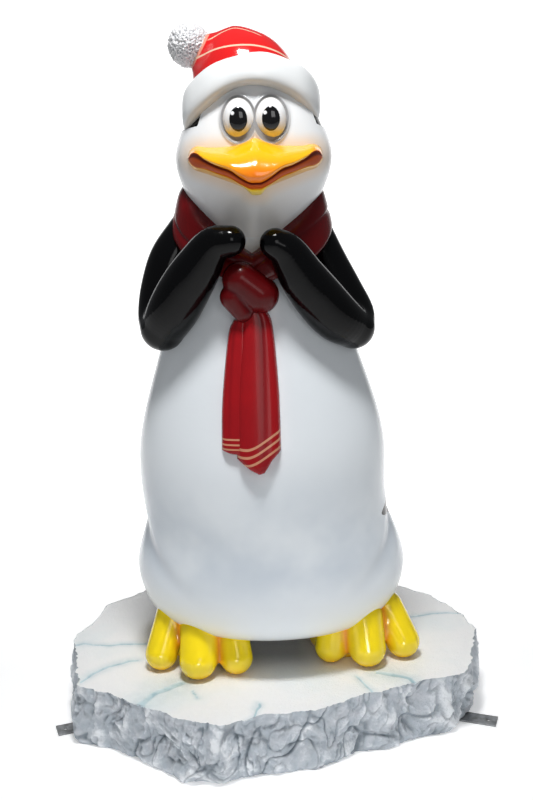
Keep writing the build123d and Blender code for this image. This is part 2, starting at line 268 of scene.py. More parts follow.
# ---- paint
class Paint:
    """A node material in the making."""

    def __init__(self, name, **settings):
        self.material = bpy.data.materials.new(name)
        self.material.use_nodes = True
        self.tree = self.material.node_tree
        self.shader = self.tree.nodes["Principled BSDF"]
        for key, value in settings.items():
            self.shader.inputs[key.replace("_", " ")].default_value = value
        self.place = None

    def node(self, kind, inputs=None, **settings):
        n = self.tree.nodes.new("ShaderNode" + kind)
        for key, value in settings.items():
            setattr(n, key, value)
        for key, value in (inputs or {}).items():
            self.put(value, n.inputs[key])
        return n

    def put(self, value, socket):
        if isinstance(value, bpy.types.NodeSocket):
            self.tree.links.new(value, socket)
        elif isinstance(value, (tuple, list)) and len(value) == 3 and socket.type == "RGBA":
            socket.default_value = (*value, 1)
        else:
            socket.default_value = value

    def position(self):
        if self.place is None:
            self.place = self.node("TexCoord").outputs["Object"]
        return self.place

    def attribute(self, name):
        return self.node("Attribute", attribute_name=name).outputs["Fac"]

    def noise(self, scale, detail=4, stretch=None):
        where = self.position()
        if stretch:
            where = self.node("Mapping", {"Vector": where, "Scale": stretch}).outputs["Vector"]
        return self.node("TexNoise", {"Vector": where, "Scale": scale, "Detail": detail}).outputs["Fac"]

    def math(self, kind, a, b=0.0):
        return self.node("Math", {0: a, 1: b}, operation=kind).outputs[0]

    def times(self, a, b):
        return self.math("MULTIPLY", a, b)

    def most(self, a, b):
        return self.math("MAXIMUM", a, b)

    def axis(self, name):
        return self.node("SeparateXYZ", {0: self.position()}).outputs[name]

    def span(self, value, low, high):
        """0 at low, 1 at high, smooth between."""
        ends = {"Value": value, "From Min": low, "From Max": high}
        return self.node("MapRange", ends, interpolation_type="SMOOTHSTEP").outputs[0]

    def stripe(self, value, start, end, soft):
        """1 between start and end, with soft edges inside them."""
        return self.times(self.span(value, start, start + soft), self.span(value, end, end - soft))

    def mix(self, share, a, b):
        n = self.node("Mix", data_type="RGBA")
        self.put(share, n.inputs["Factor"])
        self.put(a, n.inputs["A"])
        self.put(b, n.inputs["B"])
        return n.outputs["Result"]

    def colour(self, value):
        self.put(value, self.shader.inputs["Base Color"])

    def bump(self, height, strength, distance):
        n = self.node("Bump", {"Height": height, "Strength": strength, "Distance": distance})
        self.put(n.outputs["Normal"], self.shader.inputs["Normal"])


def gloss_paint(name, roughness, coat=0.35, specular=0.5):
    """Sprayed and lacquered paint with a faint orange-peel ripple."""
    paint = Paint(name, Roughness=roughness, Coat_Weight=coat, Coat_Roughness=0.06,
                  Specular_IOR_Level=specular)
    paint.bump(paint.noise(90, 2), 0.08, 0.002)
    return paint


def black_paint(name, roughness):
    paint = gloss_paint(name, roughness, 0.10, 0.16)
    paint.colour(paint.mix(paint.noise(6, 3), tuple(0.6 * c for c in BLACK), BLACK))
    return paint


def finish_piece(thing, nodes, paint):
    """Ride on the one body, stand for CAD nodes, and take a finish."""
    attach(thing, "root")
    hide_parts(*nodes)
    thing.data.materials.clear()
    thing.data.materials.append(paint.material)
    return thing


# ---- ice floe
def floe_outline():
    """Corners of the deck's outline from the CAD shell, in order of angle."""
    points = cad_points("ice_plinth_shell")
    top = points[points[:, 2] > points[:, 2].max() - MM]
    angle = np.arctan2(top[:, 1], top[:, 0])
    reach = np.hypot(top[:, 0], top[:, 1])
    steps = np.linspace(-3.1, 3.1, 40)
    rim = [reach[np.abs(angle - a) < 0.3].max() for a in steps]
    far = reach > 0.8 * np.interp(angle, steps, rim)
    order = np.argsort(angle[far])
    return angle[far][order], top[far][order, :2]


def star_radius(theta, corner_angle, corners):
    """Radius of a star-shaped polygon in each direction."""
    at = np.searchsorted(corner_angle, theta) % len(corners)
    a, b = corners[at - 1], corners[at]
    way = np.stack([np.cos(theta), np.sin(theta)], -1)
    edge = b - a
    cross = way[:, 0] * edge[:, 1] - way[:, 1] * edge[:, 0]
    return (a[:, 0] * edge[:, 1] - a[:, 1] * edge[:, 0]) / cross


# Cracks across the deck, each with its half width: where meltwater has cut from the rim inwards.
CRACKS = [
    (0.0035, [(-0.56, -0.005), (-0.45, -0.014), (-0.34, -0.008), (-0.28, 0.02)]),
    (0.0045, [(-0.51, -0.215), (-0.448, -0.142), (-0.375, -0.105)]),
    (0.0135, [(-0.348, -0.36), (-0.335, -0.338), (-0.308, -0.290), (-0.245, -0.235)]),
    (0.0030, [(-0.068, -0.44), (-0.055, -0.39), (-0.042, -0.345)]),
    (0.0022, [(-0.212, -0.277), (-0.197, -0.314)]),
    (0.0085, [(0.268, -0.208), (0.315, -0.222), (0.342, -0.238), (0.366, -0.30)]),
    (0.0035, [(0.210, -0.22), (0.232, -0.262), (0.246, -0.33)]),
    (0.0030, [(0.366, 0.112), (0.463, 0.149), (0.57, 0.152)]),
    (0.0030, [(-0.2, 0.44), (-0.16, 0.33), (-0.09, 0.29)]),
    (0.0040, [(0.34, 0.40), (0.27, 0.31), (0.20, 0.28)]),
]
CRACK_DEPTH = 0.0035
CRACK_STAIN = 0.38
RIM_WEAR = 0.0022
DECK_WAVE = 0.0006

# Chisel marks on the floe's sides: depth, how many to a metre along each axis, seed.
CHIPS = (0.046, (7.5, 7.5, 5.5), 11)
GOUGES = [(0.017, (20, 20, 15), 12), (0.0075, (46, 46, 60), 13)]
CREASE_DEPTH = 0.0055
SIDE_LAMINATE = 0.016
DECK_LAMINATE = 0.007


def make_floe():
    top = cad_box("ice_plinth_shell")[1][2]
    columns, side_rows, deck_rows = 1150, 64, 96
    theta = np.linspace(-np.pi, np.pi, columns, endpoint=False)
    outline = star_radius(theta, *floe_outline())
    way = np.stack([np.cos(theta), np.sin(theta), 0 * theta], -1)
    rough, folds = Noise(3), Noise(5)

    # side, from the floor to the rim
    t = np.linspace(0, 1, side_rows)[:, None]
    z = top * t + 0 * theta
    reach = outline * (1 + 0.012 * np.sin(np.pi * t))
    base = way * reach[..., None]
    base[..., 2] = z
    warp = base + 0.03 * np.stack([rough(base * 14), rough(base * 14 + 9), rough(base * 14 + 5)], -1)
    slant = warp @ np.array([(1, 0, 0.45), (0, 1, 0.3), (-0.3, -0.25, 1)])
    fine = sum(depth * scoops(slant * marks, seed) for depth, marks, seed in GOUGES)
    fine += 0.0055 * np.abs(folds(slant * (70, 70, 36)))
    fine += 0.0035 * np.abs(folds(warp * (120, 120, 90) + 4))
    fine += 0.0010 * rough.layers(base * 70, 3)
    crease = bell(folds(slant * (17, 17, 9)), 0, 0.07)
    crease += 0.7 * bell(folds(slant * (36, 36, 20) + 5), 0, 0.09)
    crease = np.clip(crease, 0, 1)
    fine -= CREASE_DEPTH * crease
    depth, marks, seed = CHIPS
    relief = depth * scoops(warp * marks, seed) + fine + 0.003 * rough.layers(base * 9, 2)
    relief = np.minimum(relief - np.quantile(relief, 0.96), 0.003)
    sink = 0.008 * (1 - ease(0, 0.12, t)) - 0.001 * ease(0.93, 1, t)
    side_reach = reach + relief * (0.55 + 0.45 * np.sin(np.pi * np.clip(t, 0.05, 0.95))) + 0.012 - sink
    side = way * side_reach[..., None]
    side[..., 2] = z

    # deck, from the rim to the middle
    q = (1 - np.linspace(0, 1, deck_rows) ** 1.25)[1:-1, None]
    deck = way * (side_reach[-1] * q)[..., None]
    wander = 0.006 * np.stack([rough(deck * 30), rough(deck * 30 + 3)], -1)
    crack = np.zeros(deck.shape[:2])
    for half, path in CRACKS:
        gap = line_distance(deck[..., :2] + wander, path)
        crack = np.maximum(crack, 1 - ease(0.25 * half, 1.5 * half, gap))
        crack = np.maximum(crack, CRACK_STAIN * bell(gap, 0, 4 * half))
    waves = rough.layers(deck * 12, 3)
    deck[..., 2] = top - CRACK_DEPTH * crack - RIM_WEAR * ease(0.94, 1.0, q)
    deck[..., 2] += DECK_WAVE * waves

    # inside of the laminate, from the middle of the deck's underside out and down to the floor
    inner_reach = side_reach.min(0) - SIDE_LAMINATE
    under = q[::-1] * (inner_reach / side_reach[-1])
    inner_deck = way * (side_reach[-1] * under)[..., None]
    inner_deck[..., 2] = top - DECK_LAMINATE
    inner_deck = inner_deck[::4]
    inner_side = way * (inner_reach + 0 * t[::8])[..., None]
    inner_side[..., 2] = (top - DECK_LAMINATE) * (1 - t[::8]) + 0 * theta
    inner_side[-1, :, 2] = 0

    hidden = np.zeros((len(inner_deck) + len(inner_side), columns))
    on_deck = np.ones(deck.shape[:2])
    marks = {
        "relief": np.concatenate([hidden, (fine - fine.min()) / np.ptp(fine), on_deck]),
        "deck": np.concatenate([hidden - 1, 0 * side[..., 0], on_deck]),
        # On the sides the crack mark holds the creases, where painted shade goes; on the deck it holds the
        # cracks.
        "crack": np.concatenate([hidden, crease, crack]),
    }
    grid = np.concatenate([inner_deck, inner_side, side, deck])
    thing = closed_mesh("ice_floe", grid, marks, sharp=48)
    return finish_piece(thing, ["ice_plinth_shell"], ice_paint())


def ice_paint():
    """Slate blue sides, paler on the raised relief as painted light and darker in the hollows and creases
    as painted shade, and a white deck with blue cracks and a painted shadow under the belly between the
    feet.
    """
    paint = Paint("ice_paint", Roughness=0.62)
    relief_of, deck_of, crack_and_crease_of = (paint.attribute(n) for n in ("relief", "deck", "crack"))
    mottle = paint.noise(28, 6)
    slate = paint.mix(paint.span(mottle, 0.35, 0.7), (0.44, 0.49, 0.54), (0.56, 0.59, 0.63))
    # Painted shade: the slate is darkened where the relief sinks into hollows.
    slate = paint.mix(paint.span(relief_of, 0.36, 0.04), slate, (0.21, 0.25, 0.285))
    # Painted light: the raised relief is painted paler, broken up by noise.
    raised_light = paint.math("ADD", relief_of, paint.times(paint.noise(160, 5), 0.35))
    sides = paint.mix(paint.span(raised_light, 0.58, 0.95), slate, (0.80, 0.83, 0.86))
    # Painted shade: dark grey in the side's creases, broken up by noise and stronger towards -X.
    crease_shade = paint.times(crack_and_crease_of, paint.span(paint.noise(7, 3), 0.35, 0.62))
    crease_shade = paint.times(crease_shade, paint.span(paint.axis("X"), 1.3, -0.3))
    sides = paint.mix(paint.times(crease_shade, 0.9), sides, SIDE_CREASE_SHADE)
    white = paint.mix(paint.span(paint.noise(5, 4), 0.45, 0.75), DECK_WHITE, (0.86, 0.90, 0.91))
    blue = paint.mix(paint.span(mottle, 0.4, 0.6), (0.30, 0.50, 0.58), (0.50, 0.67, 0.73))
    deck = paint.mix(paint.times(crack_and_crease_of, 0.85), white, blue)
    # Painted shadow: the deck is darkened under the belly, between the feet.
    across = paint.math("ABSOLUTE", paint.axis("X"))
    belly_shadow = paint.times(paint.span(across, 0.17, 0.05), paint.span(paint.axis("Y"), -0.22, -0.08))
    belly_shadow = paint.times(belly_shadow, paint.span(paint.axis("Y"), 0.30, 0.16))
    deck = paint.mix(paint.times(belly_shadow, 0.75), deck, DECK_SHADOW)
    paint.colour(paint.mix(paint.span(deck_of, 0.3, 0.7), sides, deck))
    paint.bump(paint.math("ADD", paint.noise(210, 6), paint.noise(60, 4)), 0.5, 0.006)
    return paint


# ---- figure mouldings
FIGURE_NODES = ("body_front_shell", "body_back_shell", "face_shell", "head_back_shell")
WALL = 0.005


def slice_figure(step=0.004):
    """Heights, and the centre x, centre y, half width and half depth of the CAD mouldings at each."""
    ends = []
    for name in FIGURE_NODES:
        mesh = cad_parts[name].data
        edges = np.empty(2 * len(mesh.edges), int)
        mesh.edges.foreach_get("vertices", edges)
        ends.append(cad_points(name)[edges.reshape(-1, 2)])
    a, b = np.moveaxis(np.concatenate(ends), 1, 0)
    low, high = cad_box(*FIGURE_NODES)
    levels = np.linspace(low[2] + MM, high[2] - MM, int((high[2] - low[2]) / step))
    sizes = []
    for z in levels:
        hit = (a[:, 2] - z) * (b[:, 2] - z) < 0
        share = (z - a[hit, 2]) / (b[hit, 2] - a[hit, 2])
        cut = a[hit] + share[:, None] * (b[hit] - a[hit])
        low, high = cut.min(0), cut.max(0)
        sizes.append([*(low + high)[:2] / 2, *(high - low)[:2] / 2])
    blur = bell(np.arange(-4, 5), 0, 2.5)
    padded = np.pad(np.array(sizes).T, ((0, 0), (4, 4)), mode="reflect", reflect_type="odd")
    return levels, [np.convolve(row, blur / blur.sum(), mode="valid") for row in padded]


LEVELS, SIZES = slice_figure()
NECK_Z = cad_box("face_shell")[0][2]


def figure_at(theta, z, grow=0.0, share=1.0):
    """Point of the figure's surface. theta runs from the front to its left, grow moves it outwards."""
    cx, cy, w, d = (np.interp(z, LEVELS, size) for size in SIZES)
    return np.stack([
        cx + (w * share + grow) * np.sin(theta), cy - (d * share + grow) * np.cos(theta), z + 0 * theta
    ], -1)


def front_y(x, z):
    """How far forward the figure's surface is at x and z."""
    cx, cy, w, d = (np.interp(z, LEVELS, size) for size in SIZES)
    return cy - d * np.sqrt(np.clip(1 - ((x - cx) / w) ** 2, 0.01, 1))


# Creases between belly and thighs: angle from the front in degrees, height.
THIGH_CREASE = [(90, 0.560), (74, 0.515), (60, 0.475), (48, 0.435), (38, 0.395), (30, 0.350)]


def body_relief(theta, z):
    """Thighs that swell out of the belly below a soft crease. Also how deep in the crease each point is."""
    angle = np.abs(np.mod(theta + np.pi, 2 * np.pi) - np.pi)
    around = 0.33
    path = [(math.radians(a) * around, h) for a, h in THIGH_CREASE]
    gap = line_distance(np.stack([angle * around, z], -1), path)
    crease = bell(gap, 0, 0.026) * ease(0.36, 0.50, z) * (1 - ease(1.6, 2.0, angle))
    thigh = bell(angle, 1.20, 0.42) * bell(z, 0.40, 0.085)
    tuck = bell(z, 0.235, 0.045)
    return 0.007 * thigh - 0.010 * crease - 0.014 * tuck, crease


def shell_mesh(name, outer, inner, normals, attributes=None):
    """A closed laminate between two grids, shaded as one smooth surface up to its edges."""
    rows, columns = outer.shape[:2]
    count = rows * columns
    quads = np.array(grid_faces(rows, columns, False))
    index = np.arange(count).reshape(rows, columns)
    loop = np.concatenate([index[0, :-1], index[:-1, -1], index[-1, :0:-1], index[:0:-1, 0]])
    after = np.roll(loop, -1)
    rim = np.stack([loop, after, after + count, loop + count], 1)
    faces = np.concatenate([quads, quads[:, ::-1] + count, rim]).tolist()
    both = {key: np.tile(np.ravel(values), 2) for key, values in (attributes or {}).items()}
    thing = add_mesh(name, np.concatenate([outer.reshape(-1, 3), inner.reshape(-1, 3)]), faces, both)
    normals = np.concatenate([normals.reshape(-1, 3), -normals.reshape(-1, 3)])
    thing.data.normals_split_custom_set_from_vertices(normals.tolist())
    return thing


# A black leaf shows at the figure's left waist: angle from the front, middle height, half height.
LEAF_ANGLE, LEAF_Z, LEAF_HALF = math.radians(67), 0.572, 0.026
# Edges of the white face, as angles from the front: at the brows, right and left, and at the cheeks.
BROW_ANGLES, CHEEK_ANGLE = (math.radians(49), math.radians(62)), math.radians(93)


def body_seam(z):
    """Angles of the paint seam on the figure's right and left."""
    cy, d = np.interp(z, LEVELS, SIZES[1]), np.interp(z, LEVELS, SIZES[3])
    seam_y = cad_box("body_front_shell")[1][1]
    plain = np.arccos(np.clip((cy - seam_y) / d, -0.5, 0.5))
    return plain, plain - (plain - LEAF_ANGLE) * bell(z, LEAF_Z, LEAF_HALF)


def head_seam(z):
    """The white face is cut back to a narrow brow above the cheeks."""
    low_down = 1 - ease(1.548, 1.562, z)
    return tuple(brow + (CHEEK_ANGLE - brow) * low_down for brow in BROW_ANGLES)


def moulding(z, share, edges, columns, grow):
    """Angles, heights and skins of one moulding. edges are its seam angles and fixed angles between."""
    edges = [edge + 0 * z for edge in edges]
    runs = [a[:, None] + (b - a)[:, None] * np.linspace(0, 1, n, endpoint=False)
            for a, b, n in zip(edges, edges[1:], columns)]
    theta = np.concatenate([*runs, edges[-1][:, None]], 1)
    z = np.broadcast_to(z[:, None], theta.shape)
    share = np.broadcast_to(share[:, None], theta.shape)

    def surface(t, h):
        return figure_at(t, h, grow(t, h), share)

    d = 0.002
    around = surface(theta + d, z) - surface(theta - d, z)
    upwards = surface(theta, z + d) - surface(theta, z - d)
    normals = np.cross(around, upwards)
    normals /= np.maximum(np.linalg.norm(normals, axis=-1, keepdims=True), 1e-12)
    inner = figure_at(theta, z, grow(theta, z) - WALL, share * 0.99)
    return theta, z, (surface(theta, z), inner, normals)


def belly_paint():
    paint = gloss_paint("white_lacquer", 0.2, 0.10, 0.35)
    z = paint.axis("Z")
    x = paint.math("ABSOLUTE", paint.axis("X"))
    # Painted shade: a soft blue-grey band across the lower belly, broken up by noise.
    shade_belt = paint.times(paint.span(z, 0.33, 0.50), paint.span(z, 0.78, 0.55))
    shade_belt = paint.times(shade_belt, paint.span(paint.noise(4.5, 3), 0.25, 0.75))
    tone = paint.mix(paint.times(shade_belt, 0.75), BELLY_WHITE, BELLY_SHADE)
    # Painted shade in the creases between belly and thighs.
    tone = paint.mix(paint.times(paint.attribute("crease"), 0.60), tone, BELLY_CREASE_SHADE)
    low_down = paint.times(paint.span(z, 0.42, 0.27), paint.span(x, 0.03, 0.16))
    paint.colour(paint.mix(paint.times(low_down, 0.45), tone, CREAM))
    return paint


def make_body():
    z = LEVELS[LEVELS < NECK_Z - MM]
    z = np.concatenate([np.full(5, z[0]), z, [NECK_Z]])
    share = np.concatenate([[0.02, 0.25, 0.5, 0.75, 0.93], np.ones(len(z) - 5)])
    right, left = body_seam(z)

    def grow(theta, height):
        return body_relief(theta, height)[0]

    theta, height, skins = moulding(z, share, (-right, left), (230,), grow)
    front = shell_mesh("belly_moulding", *skins, {"crease": body_relief(theta, height)[1]})
    finish_piece(front, ["body_front_shell"], belly_paint())
    theta, height, skins = moulding(z, share, (left, 2 * np.pi - right), (150,), grow)
    back = shell_mesh("back_moulding", *skins)
    finish_piece(back, ["body_back_shell"], black_paint("black_lacquer", 0.13))


# Bill outlines seen from the front, in mm: distance from its middle, height above its lowest point.
BILL_TOP = [(0, 133), (7, 132), (15, 129), (26, 124), (55, 116), (108, 114), (140, 117), (158, 108),
            (165, 88)]
UPPER_LIP = [(0, 33), (14, 34), (35, 45), (60, 62), (89, 72), (118, 86), (136, 99), (150, 100), (160, 89)]
LOWER_LIP = [(0, 20), (14, 21), (35, 31), (60, 46), (89, 56), (118, 66), (138, 69), (152, 76), (160, 87)]
BILL_FOOT = [(0, 0), (12, 2), (21, 12), (34, 21), (73, 36), (118, 52), (148, 62), (164, 79)]
BILL_DOWN = np.linspace(0, 1, 30)  # rows of each strip, from its upper to its lower outline
BILL_ROOT = 0.01  # how far the bill runs into the face


def through(points, count):
    """Evenly spaced points on a smooth curve through the given ones."""
    p = np.array(points, float)
    p = np.vstack([2 * p[0] - p[1], p, 2 * p[-1] - p[-2]])
    t = np.linspace(0, 1, 24, endpoint=False)[:, None]
    runs = [
        0.5 * (2 * b + (c - a) * t + (2 * a - 5 * b + 4 * c - d) * t**2 + (3 * b - a - 3 * c + d) * t**3)
        for a, b, c, d in zip(p, p[1:], p[2:], p[3:])
    ]
    curve = np.vstack([*runs, p[-2]])
    length = np.concatenate([[0], np.cumsum(np.linalg.norm(np.diff(curve, axis=0), axis=1))])
    even = np.linspace(0, length[-1], count)
    return np.stack([np.interp(even, length, column) for column in curve.T], -1)


def bill_line(points, count=90):
    """Both halves of a bill outline: x and z in metres."""
    half = through(points, count) * MM
    half[:, 0] = np.maximum(half[:, 0], 0)
    whole = np.concatenate([half[:0:-1] * (-1, 1), half])
    return whole + (cad_middle("upper_bill")[0], cad_box("lower_bill")[0][2])


def bill_reach(x):
    """How far the lips stand out from the face."""
    return 0.024 + 0.094 * np.clip(1 - ((x - cad_middle("upper_bill")[0]) / 0.168) ** 2, 0, 1) ** 0.9


def bill_piece(name, upper, lower, profile):
    """A strip of the bill between two outlines. profile is its share of the full reach, down the strip."""
    top, bottom = bill_line(upper), bill_line(lower)
    flat = top[:, None] + (bottom - top)[:, None] * BILL_DOWN[:, None]
    x, z = flat[..., 0], flat[..., 1]
    y = front_y(x, z) - bill_reach(x) * profile
    front = np.stack([x, y, z], -1)
    inside = front[:, [-1, 0]].copy()
    inside[..., 1] = front_y(inside[..., 0], inside[..., 2]) + BILL_ROOT
    grid = np.concatenate([front, inside], 1)
    down = np.broadcast_to(np.append(BILL_DOWN, [1, 0]), grid.shape[:2])
    middle = top[len(top) // 2, 0]
    return closed_mesh(name, grid, {"down": down, "aside": np.abs(grid[..., 0] - middle)}, sharp=70)


def make_bill():
    t = BILL_DOWN
    upper_profile = np.sin(np.pi / 2 * t) ** 0.72 - 0.07 * ease(0.86, 1.0, t) ** 2
    mouth_profile = 0.90 + 0.04 * np.sin(np.pi * t)
    lower_profile = 0.93 * np.cos(np.pi / 2 * t) ** 0.75 - 0.05 * (1 - ease(0, 0.25, t))

    paint = gloss_paint("bill_lacquer", 0.16)
    down, aside = paint.attribute("down"), paint.attribute("aside")
    glow = paint.times(paint.span(down, 0.25, 0.85), paint.span(aside, 0.12, 0.0))
    corner = paint.times(paint.span(down, 0.2, 1.0), paint.span(aside, 0.125, 0.15))
    paint.colour(paint.mix(paint.most(glow, corner), BILL_YELLOW, BILL_ORANGE))
    upper = bill_piece("bill_upper", BILL_TOP, UPPER_LIP, upper_profile)
    finish_piece(upper, ["upper_bill"], paint)

    paint = gloss_paint("mouth_lacquer", 0.4, 0.0, 0.2)
    down = paint.attribute("down")
    dark = paint.times(paint.span(down, 0.0, 0.12), paint.span(down, 0.5, 0.25))
    paint.colour(paint.mix(dark, (0.48, 0.070, 0.004), (0.12, 0.012, 0.003)))
    mouth = bill_piece("bill_mouth", UPPER_LIP, LOWER_LIP, mouth_profile)
    finish_piece(mouth, ["mouth_line"], paint)

    paint = gloss_paint("lower_bill_lacquer", 0.3, 0.05, 0.2)
    down, aside = paint.attribute("down"), paint.attribute("aside")
    tone = paint.mix(paint.span(aside, 0.020, 0.045), (0.88, 0.60, 0.010), (0.70, 0.34, 0.008))
    paint.colour(paint.mix(paint.span(down, 0.0, 0.3), (0.75, 0.20, 0.006), tone))
    lower = bill_piece("bill_lower", LOWER_LIP, BILL_FOOT, lower_profile)
    finish_piece(lower, ["lower_bill"], paint)


EYE_HALF = np.array([0.038, 0.034, 0.050])


def eye_middles():
    """Centres of the eyes: level with the pupils, their own depth behind the front of the eyes."""
    middles = []
    for side in ("right", "left"):
        middle = cad_middle(f"pupil_{side}")
        middle[1] = cad_box(f"eye_{side}")[0][1] + EYE_HALF[1]
        middles.append(middle)
    return middles


def eye_gap(x, z):
    """Distance outside the nearest eye's outline, seen from the front."""
    gaps = [np.hypot((x - m[0]) / EYE_HALF[0], (z - m[2]) / EYE_HALF[2]) - 1 for m in eye_middles()]
    return np.minimum(*gaps) * EYE_HALF[0]


FACE_CORE = math.radians(44)  # the finely meshed middle of the face, to each side
RING_RAISE, RING_AT, RING_HALF = 0.0030, 0.0045, 0.0034  # painted ring moulded round each eye


def make_face():
    z = np.arange(NECK_Z, LEVELS[-1], 0.0025)
    z = np.concatenate([z, np.full(4, z[-1])])
    share = np.concatenate([np.ones(len(z) - 4), [0.75, 0.5, 0.25, 0.02]])
    right, left = head_seam(z)
    rim = np.concatenate([bill_line(BILL_TOP), bill_line(BILL_FOOT)[::-1]])[::4]

    def ring(theta, height):
        p = figure_at(theta, height)
        return np.where(p[..., 1] < 0, eye_gap(p[..., 0], p[..., 2]), 1.0)

    def grow(theta, height):
        return RING_RAISE * bell(ring(theta, height), RING_AT, RING_HALF)

    edges = (-right, -FACE_CORE, FACE_CORE, left)
    theta, height, skins = moulding(z, share, edges, (50, 330, 50), grow)
    gap = ring(theta, height)
    near = line_distance(skins[0][..., [0, 2]], rim)
    marks = {"ring": gap, "glow": np.where(skins[0][..., 1] < 0, near, 1.0)}
    face = shell_mesh("face_moulding", *skins, marks)
    finish_piece(face, ["face_shell"], face_paint())

    def recess(theta, height):
        return -0.005 * ease(1.540, 1.552, height)

    theta, height, skins = moulding(z, share, (left, 2 * np.pi - right), (220,), recess)
    hood = shell_mesh("hood_moulding", *skins)
    finish_piece(hood, ["head_back_shell"], black_paint("hood_lacquer", 0.14))


def face_paint():
    """White, with painted shade towards the chin, a painted shadow of the brim at the brow, a warm glow
    painted near the bill as light it throws back, and a line round each eye.
    """
    paint = gloss_paint("face_lacquer", 0.24, 0.10)
    ring_of, glow_of, high = paint.attribute("ring"), paint.attribute("glow"), paint.axis("Z")
    shades = [
        # Painted shade: greyer towards the chin.
        (paint.span(high, 1.45, 1.36), 0.30, CHIN_SHADE),
        # Painted shadow of the hat brim: greyer towards the brow.
        (paint.span(high, 1.585, 1.66), 0.35, BRIM_SHADOW),
        # Painted light: a warm peach glow near the bill's outline, as light thrown back from the bill.
        (paint.span(glow_of, 0.036, 0.0), 0.42, (0.95, 0.62, 0.33)),
        (paint.span(ring_of, 0.018, 0.004), 0.34, (0.42, 0.43, 0.46)),
        (paint.span(ring_of, 0.0058, 0.0026), 0.80, (0.17, 0.165, 0.165)),
    ]
    tone = FACE_WHITE
    for where, strength, shade in shades:
        tone = paint.mix(paint.times(where, strength), tone, shade)
    paint.colour(tone)
    return paint


def round_grid(centre, halves, rows=40, columns=64):
    """Grid over an ellipsoid with its poles in front and behind."""
    a = np.linspace(0, np.pi, rows)[1:-1, None]
    b = np.linspace(0, 2 * np.pi, columns, endpoint=False)
    parts = [np.sin(a) * np.cos(b), -np.cos(a) + 0 * b, np.sin(a) * np.sin(b)]
    return np.array(centre) + np.stack(parts, -1) * halves


# White dot painted on each pupil: place from the middle, radius where it is full and where it ends.
SPARK_PLACE, SPARK_RADIUS, SPARK_EDGE = (-0.0135, 0, 0.0135), 0.0035, 0.0052
PUPIL_DEPTH = 0.007


def make_eyes():
    for side, middle in zip(("right", "left"), eye_middles()):
        grid = round_grid(middle, EYE_HALF)
        eye = closed_mesh(f"eye_{side}_ball", grid)
        gap = np.append(eye_gap(grid[..., 0], grid[..., 2]), [-EYE_HALF[0], 0.0])
        add_attribute(eye.data, "ring", gap)
        paint = gloss_paint(f"eye_{side}_lacquer", 0.1)
        fade = paint.span(paint.axis("Z"), middle[2] - 0.008, middle[2] - 0.034)
        tone = paint.mix(fade, (0.87, 0.88, 0.89), (0.80, 0.62, 0.16))
        edge = paint.span(paint.attribute("ring"), -0.0035, 0.0)
        paint.colour(paint.mix(edge, tone, (0.27, 0.26, 0.24)))
        finish_piece(eye, [f"eye_{side}"], paint)

        low, high = cad_box(f"pupil_{side}")
        half = (high - low) / 2
        half[1] = PUPIL_DEPTH
        centre = cad_middle(f"pupil_{side}")
        centre[1] = low[1] + PUPIL_DEPTH
        grid = round_grid(centre, half, 60, 80)
        dot = centre + SPARK_PLACE
        spark = np.hypot(grid[..., 0] - dot[0], grid[..., 2] - dot[2])
        pupil = closed_mesh(f"pupil_{side}_disc", grid, {"dot": spark})
        paint = gloss_paint(f"pupil_{side}_lacquer", 0.05)
        spark_of = paint.span(paint.attribute("dot"), SPARK_EDGE, SPARK_RADIUS)
        paint.colour(paint.mix(spark_of, (0.004, 0.004, 0.005), (0.88, 0.9, 0.92)))
        finish_piece(pupil, [f"pupil_{side}"], paint)


# ---- wings and feet
# Joints from shoulder to hand, in mm, each with its radius. ELBOW is the joint at the fold.
RIGHT_WING = [(-200, 4, 1300, 56), (-244, -16, 1235, 58), (-270, -42, 1161, 55), (-279, -70, 1101, 52),
              (-266, -100, 1072, 56), (-233, -136, 1127, 64), (-199, -160, 1184, 63),
              (-166, -178, 1234, 56), (-130, -197, 1284, 44), (-88, -208, 1294, 37)]
LEFT_WING = [(114, 4, 1294, 54), (148, -18, 1225, 53), (188, -45, 1151, 52), (217, -70, 1097, 50),
             (212, -100, 1064, 53), (167, -136, 1098, 62), (121, -160, 1152, 62), (81, -178, 1207, 56),
             (48, -196, 1264, 45), (18, -207, 1286, 37)]
ELBOW = 4


def tube(p, joints, count):
    """Distance to a limb that bends smoothly through its joints."""
    path = through(joints, count)
    return chain(p, path[:, :3], path[:, 3])


def make_wings():
    paint = black_paint("wing_lacquer", 0.12)
    for side, joints in (("right", RIGHT_WING), ("left", LEFT_WING)):
        joints = np.array(joints) * MM

        def field(p, joints=joints):
            upper = tube(p, joints[:ELBOW + 1], 26)
            lower = tube(p, joints[ELBOW:], 32)
            return blend_min(upper, lower, 0.006)

        reach = joints[:, 3].max()
        low, high = joints[:, :3].min(0) - reach, joints[:, :3].max(0) + reach
        points, faces = solid(field, low, high, 0.005)
        wing = add_mesh(f"wing_{side}_arm", points, faces)
        finish_piece(wing, [f"wing_{side}"], paint)


# Toes in mm: x and y of the tip, x and y of the root, radius.
RIGHT_TOES = [(-303, -150, -276, -95, 43), (-202, -205, -200, -140, 49), (-103, -182, -120, -130, 43)]
LEFT_TOES = [(344, -108, 302, -72, 45), (244, -155, 236, -130, 49), (148, -128, 160, -110, 42)]
TOE_ROOT_UP = 0.125
INSTEP, INSTEP_HALF = (0.200, 0.0, 0.043), (0.112, 0.130, 0.105)


